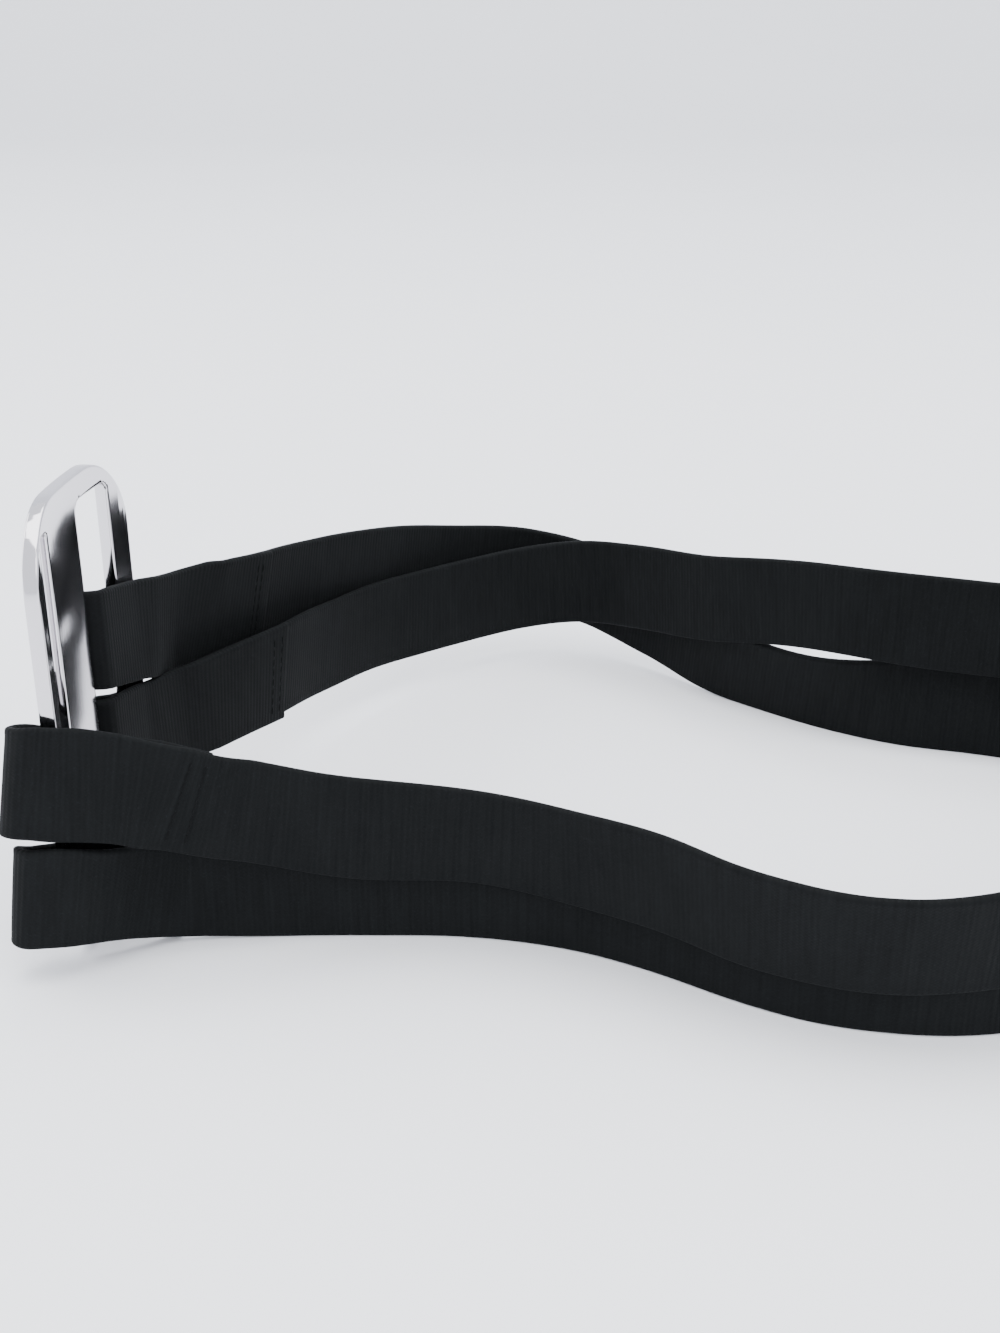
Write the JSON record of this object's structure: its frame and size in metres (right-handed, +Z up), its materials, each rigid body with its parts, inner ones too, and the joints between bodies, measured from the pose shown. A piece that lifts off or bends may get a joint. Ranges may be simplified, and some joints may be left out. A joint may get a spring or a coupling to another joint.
{
  "type": "canvas belt",
  "caption": "Canvas belt of two narrow black webbing straps sewn round a tall curved polished plate buckle with upright slots, lying as an open loop on its edges.",
  "frame": {"origin": "on the surface the belt stands on, under the middle of its footprint", "axes": "+Z up, +X along the loop's length away from the buckle, +Y across the loop from the strap run in front to the run behind"},
  "size_m": [0.288, 0.1996, 0.098],
  "materials": {
    "polished_metal": "mirror polished nickel plate",
    "black_webbing": "matt ribbed woven webbing"
  },
  "bodies": {
    "root": {"buckle": "polished_metal", "upper_strap": "black_webbing", "lower_strap": "black_webbing"}
  },
  "joints": []
}
